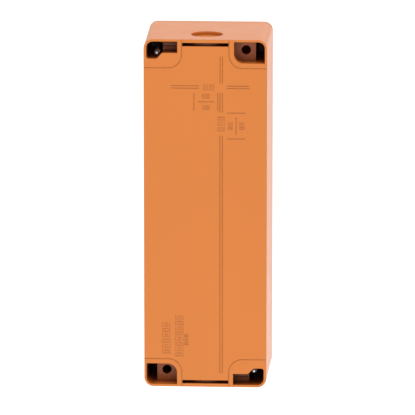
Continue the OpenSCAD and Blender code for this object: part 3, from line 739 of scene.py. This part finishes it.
# the strokes of the figures from 0 to 9
FIGURES = ("abcdef", "bc", "abged", "abgcd", "fgbc", "afgcd", "afgedc", "abc", "abcdefg", "abcdfg")


def figure(shape, number, x, z, width, thick, low, high, place=facing):
    """A seven-segment figure about a centre."""
    for name in FIGURES[number]:
        ends = [(x + (u - 0.5) * width, z + (v - 1) * width) for u, v in SEGMENTS[name]]
        shape.prism(bar(*ends, thick), low, high, place)


def display_figures():
    """A clock reading and a row of cells on the liquid crystal panel."""
    at = centre("display_module")
    floor = front_of("display_module") - CRYSTAL_SUNK
    low, high = floor - ROOT, floor + 0.08
    glass = Shape()
    width, stroke, raised = 5.4, 1.1, 1.8
    for number, x in zip((1, 2, 3, 0), (-17.5, -7.5, 4.5, 14.5)):
        figure(glass, number, at.x + x, at.z + raised, width, stroke, low, high)
    for z in (-0.5, 4.1):
        glass.prism(circle(at.x - 1.5, at.z + z, 0.7, 12), low, high)
    cells, pitch = 16, 2.6
    for i in range(cells):
        x = at.x + (i - (cells - 1) / 2) * pitch
        glass.prism(rectangle(x, at.z - 7.6, 1.9, 1.6), low, high)
    glass.done("display_figures", "cover", "component_black")


def window_mask():
    """Black mask behind the window, round the crystal panel."""
    at, back = centre("display_window"), back_of("display_window")
    mask = Shape()
    inner = rounded(at.x, at.z, 48.6, 20.6, 0.6)
    mask.frame(rounded(at.x, at.z, 57.6, 25.6, 1.8), inner, back - 0.9, back - 0.5)
    mask.done("window_mask", "cover", "component_black", 0.05)


def button_icons():
    """A raised mark on each button: back, confirm, forward."""
    for side, body in ((-1, "left_button"), (0, "centre_button"), (1, "right_button")):
        node = "button_" + body.split("_")[0]
        low, high = on_face(node)
        at = centre(node)
        icon = Shape()
        icon.frame(circle(at.x, at.z, 4.3), circle(at.x, at.z, 3.9), low, high - 0.15)
        if side:
            icon.prism([(at.x + side * 2.2, at.z), (at.x - side * 1.3, at.z + 2.1),
                        (at.x - side * 1.3, at.z - 2.1)], low, high)
        else:
            icon.frame(circle(at.x, at.z, 2), circle(at.x, at.z, 1.2), low, high)
        icon.done(body + "_icon", body, "wheel_ivory", 0.08)


def lens_marks():
    """A tick beside the accept lens and a cross beside the refuse lens."""
    low, high = on_face("front_cover")
    tick, cross = Shape(), Shape()
    at = centre("accept_lens") + Vector((8.2, 0, 0))
    strokes = [(-2, 0), (-0.6, -1.6), (2.2, 1.6), (1.5, 2.2), (-0.7, -0.3), (-1.4, 0.6)]
    tick.prism([(at.x + u, at.z + v) for u, v in strokes], low, high)
    tick.done("accept_mark", "cover", "reader_grey", 0.08)
    at = centre("refuse_lens") - Vector((8.2, 0, 0))
    arm, half = 2.0, 0.45
    points = [(arm, half), (half, half), (half, arm)]
    for _ in range(3):
        points += [(-v, u) for u, v in points[-3:]]
    turned = [(at.x + (u - v) * math.sqrt(0.5), at.z + (u + v) * math.sqrt(0.5)) for u, v in points]
    cross.prism(turned, low, high)
    cross.done("refuse_mark", "cover", "reader_grey", 0.08)


def lens_rims():
    """A black rim round each lens."""
    low, high = on_face("front_cover")
    for node in ("accept_lens", "refuse_lens"):
        at = centre(node)
        rim = Shape()
        rim.lathe([(3.62, low), (4.9, low), (4.9, high - 0.1), (4.5, high + 0.3), (3.62, high + 0.5)],
                  about(at.x, at.z))
        rim.done(node + "_rim", "cover", "guide_black")


def lock_marks():
    """Open and locked position marks on the lock's rim."""
    low, high = on_face("lock_body")
    at = centre("lock_body")
    marks = Shape()
    for x, z in ((6, 0), (0, 6)):
        marks.prism(circle(at.x + x, at.z + z, 0.55, 16), low, high - 0.1)
    marks.frame(circle(at.x, at.z, 4.9), circle(at.x, at.z, 4.3), low, high - 0.1)
    marks.done("lock_marks", "cover", "dark_steel", 0.05)


def slot_lights():
    """A light guide at each end of the slot's bezel, almost flush with it."""
    low, high, at = span("slot_bezel")
    face, inset = -low.y, 1.9
    for side, name in ((-1, "left"), (1, "right")):
        guide = Shape()
        x = at.x + side * (high.x - inset)
        guide.prism(rounded(x, at.z, 1.6, 8, 0.7), face - SUNK, face + 0.04)
        guide.done("slot_light_" + name, "cover", "lens_green", 0.03)


def antenna_tracks():
    """Copper loops on the back of the reader's antenna board."""
    at, back = centre("antenna_board"), back_of("antenna_board")
    copper = Shape()
    pitch, track = 1.6, 0.8
    for i in range(6):
        width, height = 53 - 2 * pitch * i, 33 - 2 * pitch * i
        inner = rounded(at.x, at.z, width - 2 * track, height - 2 * track, 1.7)
        copper.frame(rounded(at.x, at.z, width, height, 2.5), inner, back - 0.07, back + 0.02)
    for x in (-3, 3):
        copper.prism(rounded(at.x + x, at.z, 2.4, 3.4, 0.5), back - 0.09, back + 0.02)
    copper.done("antenna_tracks", "cover", "brass")


PIN_PITCH = 2.54  # between the pins of a socket or a header


def solder_joint(shape, x, z, board, rise=0.7):
    """A cone of solder round a cut wire end, on a board's back face."""
    profile = [(AXIS, board + ROOT), (0.95, board + ROOT), (0.5, board - rise * 0.45), (0.28, board - rise),
               (AXIS, board - rise)]
    shape.lathe(profile, about(x, z), 12)


def cover_board_joints():
    """Solder joints on the backs of the display and switch boards."""
    at, board = centre("display_board"), back_of("display_board")
    joints = Shape()
    pins = 16
    for i in range(pins):
        solder_joint(joints, at.x + (i - (pins - 1) / 2) * PIN_PITCH, at.z + 17.6, board)
    for x in (-27, 27):
        solder_joint(joints, at.x + x, at.z, board, 0.9)
    joints.done("display_joints", "cover", "plated_steel")
    board = back_of("switch_board")
    joints = Shape()
    for low, high in solids("tact_switches"):
        for x in (low.x + 0.4, high.x - 0.4):
            for z in (low.z + 0.8, high.z - 0.8):
                solder_joint(joints, x, z, board)
    joints.done("switch_joints", "cover", "plated_steel")


def display_connector():
    """Flat cable socket on the back of the display board."""
    at, board = centre("display_board"), back_of("display_board")
    socket = Shape()
    x, z = at.x, at.z - 12
    socket.frame(rounded(x, z, 24, 5.4, 0.6), rounded(x, z, 22, 2, 0.4), board - 2.6, board + ROOT)
    socket.prism(rectangle(x, z, 22.4, 2.4), board - 0.6, board + ROOT)
    for side in (-1, 1):
        socket.prism(rounded(x + side * 13, z, 2.4, 3, 0.5), board - 2.1, board + ROOT)
    socket.done("display_connector", "cover", "wheel_ivory", 0.1)


def screw_points():
    """The point and the last turns of thread on each tower screw, in the wells of the wall face."""
    points = Shape()
    for low, high in solids("tower_screws"):
        at, end, r = (low + high) / 2, -high.y, 1.46
        cone = [(0.02, end + 0.1), (r, end + 0.1), (r, end - 0.1), (0.5 * r, end - 1.2), (0.02, end - 1.25)]
        points.lathe(cone, about(at.x, at.z), 28)
        for turn in range(9):
            crest = end + 0.5 + 0.8 * turn
            ridge = [(r - ROOT, crest - 0.3), (r + 0.25, crest - 0.05), (r + 0.25, crest + 0.05),
                     (r - ROOT, crest + 0.3)]
            points.lathe(ridge, about(at.x, at.z), 28)
    points.done("screw_points", "housing", "plated_steel")


# ---- details on the main board ----

# chips, by how far they stand off the board in millimetres: the pitch and width of their legs, and
# whether all four sides have them
CHIPS = {1.6: (1.0, 0.45, True), 2.4: (1.27, 0.5, False), 1.2: (1.27, 0.5, False)}
# the other parts that have details, by the same height
RELAY, HEADER, CAPACITORS = 6.0, 8.0, 11.0


def board_face():
    return front_of("main_board")


def part_heights():
    """The solids of board_components, by how far each stands off the board in millimetres."""
    found = {}
    for low, high in solids("board_components"):
        found.setdefault(round(high.y - low.y, 1), []).append((low, high))
    return found


def slotted_head(shape, x, z, r, low, high, slot=0.5):
    """A round screw head with a driver slot across it."""
    shape.prism(circle(x, z, r, 24), low, high - 0.5)
    for side in (-1, 1):
        edge = math.asin(slot / 2 / r)
        arc = [side * math.pi / 2 + (math.pi - 2 * edge) * (i / 12 - 0.5) for i in range(13)]
        shape.prism([(x + r * math.cos(a), z + r * math.sin(a)) for a in arc], high - 0.55, high)


def terminal_screws():
    """A clamping screw for each way of the terminal block, sunk in its top."""
    at, top = centre("terminal_block"), front_of("terminal_block")
    ways, pitch = 6, 2 * PIN_PITCH
    screws = Shape()
    for i in range(ways):
        slotted_head(screws, at.x + (i - (ways - 1) / 2) * pitch, at.z, 1.5, top - 4.05, top - 2.6)
    screws.done("terminal_screws", "housing", "plated_steel", 0.08)


def gull_leg(shape, x, z, out, top, wide):
    """One leg of a surface-mounted chip: out of its side, down, and along the board."""
    (ox, oz), face, thick = out, board_face(), 0.16
    profile = [(-0.2, top), (0.45, top), (0.75, face + thick), (1.35, face + thick), (1.35, face),
               (0.62, face), (0.34, top - thick), (-0.2, top - thick)]
    shape.prism(profile, -wide / 2, wide / 2, lambda u, v, h: (x + ox * u + oz * h, -v, z + oz * u + ox * h))


def chip_legs(parts):
    """Legs on four sides of the square chip, and on the long sides of the oblong ones."""
    legs = Shape()
    for height, (pitch, wide, all_round) in CHIPS.items():
        top = board_face() + height * 0.55
        for low, high in parts[height]:
            mid, half = (low + high) / 2, (high - low) / 2
            for out in ((0, -1), (0, 1)) + (((-1, 0), (1, 0)) if all_round else ()):
                count = int((2 * (half.z if out[0] else half.x) - 1.0) / pitch)
                for i in range(count + 1):
                    along = (i - count / 2) * pitch
                    x = mid.x + (out[0] * half.x or along)
                    z = mid.z + (out[1] * half.z or along)
                    gull_leg(legs, x, z, out, top, wide)
    legs.done("chip_legs", "housing", "plated_steel")


def chip_marks(parts):
    """The dimple that shows each chip's first leg."""
    dots = Shape()
    for height in CHIPS:
        for low, high in parts[height]:
            top, x, z = board_face() + height, low.x + 1.1, high.z - 1.1
            dots.frame(circle(x, z, 0.5, 16), circle(x, z, 0.3, 16), top - ROOT, top + 0.05)
    dots.done("chip_marks", "housing", "wheel_ivory")


def header_pins(parts):
    """Two rows of square pins in the header."""
    (low, high), = parts[HEADER]
    at = (low + high) / 2
    floor, columns, wide = board_face() + 1.5, 9, 0.64
    shoulder = floor + 4.6
    pins = Shape()
    for i in range(columns):
        for side in (-1.1, 1.1):
            x, z = at.x + (i - (columns - 1) / 2) * PIN_PITCH, at.z + side
            pin, tip = rectangle(x, z, wide, wide), rectangle(x, z, wide / 2, wide / 2)
            pins.prism(pin, floor - 0.1, shoulder)
            pins.taper(pin, tip, shoulder, shoulder + 0.6)
    pins.done("header_pins", "housing", "brass")


def capacitor_cans(parts):
    """The scored aluminium end of each capacitor and the rim round it."""
    cans = Shape()
    gap = 0.12
    for low, high in parts[CAPACITORS]:
        at, top = (low + high) / 2, -low.y
        for i in range(3):
            first = 2 * math.pi * i / 3
            arc = [first + gap + (2 * math.pi / 3 - 2 * gap) * k / 10 for k in range(11)]
            tip = first + math.pi / 3
            third = [polar(at, 0.25, tip)] + [polar(at, 3.1, a) for a in arc]
            cans.prism(third, top - ROOT, top + 0.12)
        rim = [(3.3, top - 0.1), (3.9, top - 0.1), (3.9, top + 0.1), (3.6, top + 0.3), (3.3, top + 0.1)]
        cans.lathe(rim, about(at.x, at.z), 32)
    cans.done("capacitor_ends", "housing", "plated_steel")


def cell_clip():
    """Spring clip over the backup cell, with a dimpled tongue."""
    at, face, top = centre("backup_cell"), board_face() + 0.02, front_of("backup_cell") + 0.05
    clip = Shape()
    half, sheet = 10.6, 0.35
    side = [(half - sheet, top), (half, face), (half + 1.6, face), (half + 1.6, face + sheet),
            (half + 0.3, face + sheet), (half, top + sheet)]
    profile = side + [(-u, v) for u, v in reversed(side)]
    clip.prism(profile, -2.6, 2.6, lambda u, v, h: (at.x + u, -v, at.z + h))
    clip.lathe([(AXIS, top + 0.15), (1.5, top + 0.15), (1.2, top + 0.5), (AXIS, top + 0.65)],
               about(at.x, at.z), 20)
    clip.done("cell_clip", "housing", "plated_steel", 0.06)


def small_parts():
    """Rows of small resistors and capacitors with tinned ends."""
    face = board_face()
    bodies, ends = Shape(), Shape()
    # each row: where it starts in X and Z, the step to the next part, and how many there are
    rows = (((-14, 24), (2.4, 0), 9), ((-14, 28), (2.4, 0), 8), ((-16.4, 34), (0, 2.6), 7),
            ((6.6, 36), (0, 2.6), 6), ((-31, 36), (0, 2.6), 7), ((30.5, 20), (0, 2.6), 6))
    for (x0, z0), (dx, dz), count in rows:
        for i in range(count):
            x, z = x0 + i * dx, z0 + i * dz
            # a part lies across its row
            turn = (lambda u, v, h: (x + u, -h, z + v)) if dz else (lambda u, v, h: (x + v, -h, z + u))
            bodies.prism(rectangle(0, 0, 1.5, 1.2), face - 0.02, face + 0.5, turn)
            for side in (-0.85, 0.85):
                ends.prism(rectangle(side, 0, 0.36, 1.2), face - 0.02, face + 0.55, turn)
    bodies.done("small_parts", "housing", "component_black", 0.05)
    ends.done("small_part_ends", "housing", "plated_steel", 0.05)


def relay_marks(parts):
    """A raised frame and tab on the relay's cover."""
    (low, high), = parts[RELAY]
    at, top = (low + high) / 2, -low.y
    relay = Shape()
    inner = rounded(at.x, at.z, 7.8, 17.8, 0.4)
    relay.frame(rounded(at.x, at.z, 8.6, 18.6, 0.6), inner, top - ROOT, top + 0.15)
    relay.prism(rounded(at.x, at.z + 7, 3, 1.4, 0.5), top - ROOT, top + 0.12)
    relay.done("relay_cover_rib", "housing", "component_black", 0.05)


def buzzer_ring():
    """A rim round the buzzer's top and a collar round its sound hole."""
    at, top = centre("buzzer"), front_of("buzzer")
    ring = Shape()
    rim = [(5.9, top - ROOT), (6.95, top - ROOT), (6.95, top + 0.1), (6.4, top + 0.4), (5.9, top + 0.15)]
    ring.lathe(rim, about(at.x, at.z), 40)
    ring.lathe([(1.5, top - ROOT), (2.2, top - ROOT), (2.0, top + 0.2), (1.6, top + 0.2)],
               about(at.x, at.z), 28)
    ring.done("buzzer_rings", "housing", "component_black")


def earth_nut():
    """Washer and nut on the earth plate's stud."""
    low, high = corners("earth_plate")
    plate, washer, tall = 1.5, 0.7, 2.9
    x, z, face = high.x - 5, (low.z + high.z) / 2, -high.y + plate
    bore = circle(x, z, 2.02, 24)
    nut = Shape()
    nut.frame(circle(x, z, 4.4, 24), bore, face, face + washer)
    nut.frame(hexagon(x, z, 6.8), bore, face + washer, face + washer + tall)
    nut.done("earth_nut", "housing", "brass", 0.25)


# ---- details on the mechanism ----

SPOOLS = {"supply_spool": "supply", "takeup_spool": "takeup"}


def motor_rings():
    """Rolled beads round the motor's can, a ring on its rear cap, and its plug."""
    low, high, at = span("feed_motor")
    r = (high.z - low.z) / 2
    turn = lambda u, v, h: (h, at.y + u, at.z + v)
    rear = high.x - 1
    rings = Shape()
    for x in (rear - 12.6, rear - 2.2):
        bead = [(r - ROOT, x - 0.7), (r + 0.3, x - 0.35), (r + 0.3, x + 0.35), (r - ROOT, x + 0.7)]
        rings.lathe(bead, turn, 48)
    rings.frame(circle(at.y, at.z, 7.4, 32), circle(at.y, at.z, 6.6, 32), rear - ROOT, rear + 0.3, along_x)
    rings.done("motor_rings", "housing", "dark_steel")
    plug = Shape()
    plug.prism(rounded(at.y, at.z - 5.4, 6.4, 2.6, 0.4), rear - ROOT, rear + 2.6, along_x)
    for i in range(4):
        plug.prism(rectangle(at.y + (i - 1.5) * 1.5, at.z - 5.4, 0.5, 0.5), rear + 2.5, rear + 4.0, along_x)
    plug.done("motor_plug", "housing", "wheel_ivory", 0.1)


def wheel_figures():
    """Raised type on the flats of the number wheels, mirrored so that it prints the right way round."""
    figures = Shape()
    sides = 10
    wheels = solids("date_wheels")
    flat = (wheels[0][1].y - wheels[0][0].y) / 2
    for start, (low, high) in enumerate(sorted(wheels, key=lambda pair: pair[0].x)):
        at = (low + high) / 2
        for i in range(sides):
            a = 2 * math.pi * i / sides
            out, up = Vector((0, math.cos(a), math.sin(a))), Vector((0, math.sin(a), -math.cos(a)))
            place = lambda u, v, h: Vector((-u, 0, 0)) + at + out * h + up * v
            figure(figures, (i + 2 * start) % sides, 0, 0, 1.25, 0.34, flat - ROOT, flat + 0.25, place)
    figures.done("wheel_figures", "wheels", "component_black")


def ribbon_rolls():
    """The wound ribbon on each spool, with the edges of its turns."""
    core, wound, turns, uneven, flange = 5.6, 0.5, 9, 0.12, 1.15
    steps = [(core + wound * (turns - i) / turns, uneven * (i % 2)) for i in range(turns + 1)]
    for node, body in SPOOLS.items():
        low, high, at = span(node)
        near, far = -high.y + flange, -low.y - flange
        profile = [(core - ROOT, near), (core - ROOT, far)]
        profile += [(r, far - dip) for r, dip in reversed(steps)] + [(r, near + dip) for r, dip in steps]
        roll = Shape()
        roll.lathe(profile, about(at.x, at.z), 56)
        roll.done(body + "_ribbon_roll", body, "ink_fabric")


def spool_teeth():
    """A drive collar, three spokes and a knurled rim on the front flange of each spool."""
    taper, knurls = ((3.4, -0.15), (7.2, -0.04), (7.2, 0.04), (3.4, 0.15)), 72
    for node, body in SPOOLS.items():
        at, front = centre(node), front_of(node)
        teeth = Shape()
        teeth.frame(circle(at.x, at.z, 3.6, 30), circle(at.x, at.z, 2.0, 30), front - ROOT, front + 0.9)
        for i in range(3):
            a = 2 * math.pi * (i + 0.5) / 3
            spoke = [polar(at, r, a + lean) for r, lean in taper]
            teeth.prism(spoke, front - ROOT, front + 0.5)
        edge = [polar(at, 7.9 if i % 2 else 7.6, 2 * math.pi * i / knurls) for i in range(knurls)]
        teeth.frame(edge, circle(at.x, at.z, 7.1, knurls), front - ROOT, front + 0.35)
        teeth.done(body + "_spool_face", body, "reader_grey", 0.06)


def closed_spring():
    """The hammer's return spring, with closed ends."""
    low, high, at = span("hammer_spring")
    wire, coils, per_turn, sides = 0.35, 7, 24, 10
    reach = (high.x - low.x) / 2 - wire
    spring = Shape()
    rings = []
    for i in range(coils * per_turn + 1):
        turn = i / per_turn
        open_part = min(max(turn - 1, 0), coils - 2) / (coils - 2)
        closed = turn - open_part * (coils - 2)
        z = low.z + wire + closed * 2 * wire + open_part * (high.z - low.z - 6 * wire)
        a = 2 * math.pi * turn
        section = [(reach + wire * math.cos(b), z + wire * math.sin(b))
                   for b in (2 * math.pi * k / sides for k in range(sides))]
        rings.append([spring.mesh.verts.new(
            Vector((at.x + r * math.cos(a), at.y + r * math.sin(a), h)) * MM) for r, h in section])
    for first, second in zip(rings, rings[1:]):
        spring.walls(first, second)
    spring.mesh.faces.new(rings[0])
    spring.mesh.faces.new(rings[-1])
    piece = spring.done("closed_spring", "housing", "plated_steel")
    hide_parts("hammer_spring")
    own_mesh(piece)


def coil_tape():
    """Tape round the winding and the two solder tags of the solenoid."""
    low, high, at = span("solenoid_coil")
    inner, outer, half = 6.55, 6.82, 3.2
    tape = Shape()
    tape.lathe([(inner, at.z - half), (outer, at.z - half), (outer, at.z + half), (inner, at.z + half)],
               lambda u, v, h: (at.x + u, at.y + v, h), 48)
    tape.done("coil_tape", "housing", "wheel_ivory")
    tags = Shape()
    for x in (-3, 3):
        tags.prism(rectangle(at.x + x, high.z - 0.65, 1.6, 0.4), -low.y - 0.9, -low.y + 2.2)
    tags.done("coil_tags", "housing", "brass", 0.05)


def solenoid_rivets():
    """Rivet heads and a stiffening bead on the front of the solenoid's frame."""
    at, face = centre("solenoid_frame"), front_of("solenoid_frame")
    rivets = Shape()
    for x in (-8.4, 8.4):
        for z in (-6.6, 6.6):
            rivets.lathe([(AXIS, face - ROOT), (1.2, face - ROOT), (1.1, face + 0.35), (0.6, face + 0.62),
                          (AXIS, face + 0.7)], about(at.x + x, at.z + z), 20)
    inner = rounded(at.x, at.z - 1, 10.6, 5.6, 0.9)
    rivets.frame(rounded(at.x, at.z - 1, 12, 7, 1.5), inner, face - ROOT, face + 0.25)
    rivets.done("solenoid_rivets", "housing", "dark_steel", 0.08)


def add_details():
    ticket_arrows()
    reader_marks()
    display_figures()
    window_mask()
    button_icons()
    lens_marks()
    lens_rims()
    lock_marks()
    slot_lights()
    antenna_tracks()
    cover_board_joints()
    display_connector()
    screw_points()
    parts = part_heights()
    chip_legs(parts)
    chip_marks(parts)
    header_pins(parts)
    capacitor_cans(parts)
    relay_marks(parts)
    terminal_screws()
    cell_clip()
    small_parts()
    buzzer_ring()
    earth_nut()
    motor_rings()
    wheel_figures()
    ribbon_rolls()
    spool_teeth()
    closed_spring()
    coil_tape()
    solenoid_rivets()


# ---- run ----

make_camera()
make_floor()
make_studio()
finishes = make_finishes()
smooth = smooth_group()
dress_cad()
add_details()
